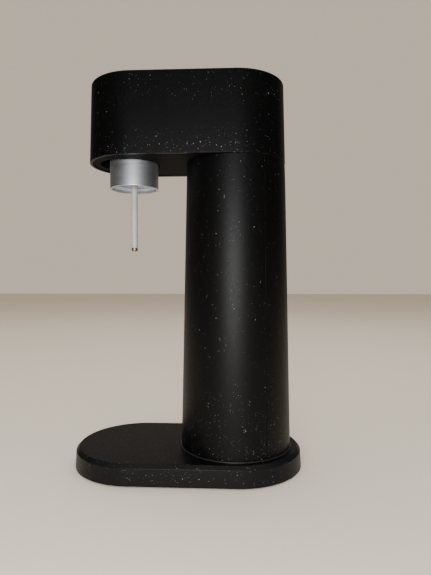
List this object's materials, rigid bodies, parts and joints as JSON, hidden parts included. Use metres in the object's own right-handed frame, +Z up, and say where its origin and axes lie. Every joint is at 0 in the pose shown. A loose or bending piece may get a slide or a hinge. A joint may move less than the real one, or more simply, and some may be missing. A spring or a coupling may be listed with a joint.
{
  "type": "soda carbonator",
  "caption": "Manual kitchen soda carbonator: obround foot, tapered column hiding a gas cylinder, overhanging head with a round push button, tilting bottle collar and slim nozzle tube.",
  "frame": {"origin": "On the worktop under the middle of the foot, at the bottom centre of the whole part's box.", "axes": "+Z up; -Y towards the user, the bottle side; +Y towards the removable rear cover; +X to the side."},
  "size_m": [0.14, 0.2478, 0.412],
  "materials": {
    "composite_black": "matte composite with fine pale flecks",
    "underside_black": "fine matte texture",
    "button_black": "satin moulded",
    "seat_black": "matte moulded",
    "collar_aluminium": "satin anodised, turned",
    "holder_white": "light bluish white moulded",
    "tube_grey": "light grey moulded",
    "tip_brass": "turned brass",
    "frame_grey": "glass-filled moulded",
    "foot_rubber": "matte rubber",
    "seal_rubber": "pale silicone rubber",
    "hose_rubber": "braided rubber hose",
    "plate_steel": "zinc-plated sheet",
    "screw_steel": "zinc-plated screw",
    "spring_steel": "drawn spring wire",
    "chassis_alloy": "as-cast alloy",
    "block_brass": "machined brass",
    "cylinder_paint": "satin grey enamel",
    "valve_brass": "turned brass",
    "magnet_nickel": "nickel-plated magnet"
  },
  "bodies": {
    "stand": {"base_cover": "composite_black", "base_plate": "underside_black", "rubber_feet": "foot_rubber", "base_screws": "screw_steel", "base_stiffener": "plate_steel", "frame_screws": "screw_steel", "seat_ring": "seat_black", "column_shell": "composite_black", "column_screws": "screw_steel", "column_frame": "frame_grey", "shell_magnets": "magnet_nickel", "head_shell": "composite_black", "head_underside": "underside_black", "underside_screws": "screw_steel", "head_chassis": "chassis_alloy", "chassis_screws": "screw_steel", "shell_screws": "screw_steel", "button_guide": "frame_grey", "guide_screws": "screw_steel", "button_springs": "spring_steel", "lever_pin": "plate_steel", "lever_bushes": "frame_grey", "pin_clips": "spring_steel", "valve_block": "block_brass", "block_screws": "screw_steel", "cylinder_washer": "seal_rubber", "plunger_seal": "seal_rubber", "plunger_spring": "spring_steel", "outlet_barb": "block_brass", "outlet_ferrule": "plate_steel", "gas_hose": "hose_rubber", "tilt_pins": "plate_steel"},
    "button": {"push_button": "button_black"},
    "lever": {"lever": "plate_steel", "lever_pad": "plate_steel"},
    "plunger": {"valve_plunger": "plate_steel"},
    "bottle_holder": {"holder_body": "holder_white", "collar": "collar_aluminium", "thread_insert": "holder_white", "bottle_seal": "seal_rubber", "nozzle_tube": "tube_grey", "nozzle_tip": "tip_brass", "inlet_barb": "block_brass", "inlet_ferrule": "plate_steel", "relief_housing": "block_brass", "relief_cap": "block_brass", "relief_spring": "spring_steel"},
    "relief_valve": {"relief_poppet": "block_brass"},
    "gas_cylinder": {"gas_cylinder": "cylinder_paint", "cylinder_valve": "valve_brass", "valve_gland": "valve_brass", "pin_spring": "spring_steel", "burst_plug": "valve_brass"},
    "cylinder_pin": {"valve_pin": "plate_steel"},
    "rear_cover": {"rear_cover": "composite_black", "cover_magnets": "magnet_nickel"}
  },
  "joints": [
    {"name": "button_press", "type": "slide", "parent": "stand", "child": "button", "axis": [0, 0, -1], "range_m": [0, 0.008], "stiffness_N_per_m": 900, "springref_m": -0.01, "deforming": ["button_springs"]},
    {"name": "lever_swing", "type": "hinge", "parent": "stand", "child": "lever", "pos_m": [0, 0.088, 0.399], "axis": [1, 0, 0], "range_deg": [0, 3.3]},
    {"name": "plunger_slide", "type": "slide", "parent": "stand", "child": "plunger", "axis": [0, 0, -1], "range_m": [0, 0.00205], "deforming": ["plunger_spring"]},
    {"name": "cylinder_slide", "type": "slide", "parent": "stand", "child": "gas_cylinder", "axis": [0, 0, -1], "range_m": [0, 0.014]},
    {"name": "pin_slide", "type": "slide", "parent": "gas_cylinder", "child": "cylinder_pin", "axis": [0, 0, -1], "range_m": [0, 0.00205], "deforming": ["pin_spring"]},
    {"name": "holder_tilt", "type": "hinge", "parent": "stand", "child": "bottle_holder", "pos_m": [0, -0.06, 0.366], "axis": [-1, 0, 0], "range_deg": [0, 14], "deforming": ["gas_hose"]},
    {"name": "relief_lift", "type": "slide", "parent": "bottle_holder", "child": "relief_valve", "axis": [0, 0, 1], "range_m": [0, 0.0015], "stiffness_N_per_m": 3000, "springref_m": -0.002, "deforming": ["relief_spring"]},
    {"name": "cover_slide", "type": "slide", "parent": "stand", "child": "rear_cover", "axis": [0, 1, 0], "range_m": [0, 0.09]}
  ],
  "couplings": [
    {"joint": "lever_swing", "follows": "button_press", "rad_per_m": 7.0423},
    {"joint": "plunger_slide", "follows": "button_press", "ratio": 0.25},
    {"joint": "pin_slide", "follows": "button_press", "ratio": 0.25}
  ]
}
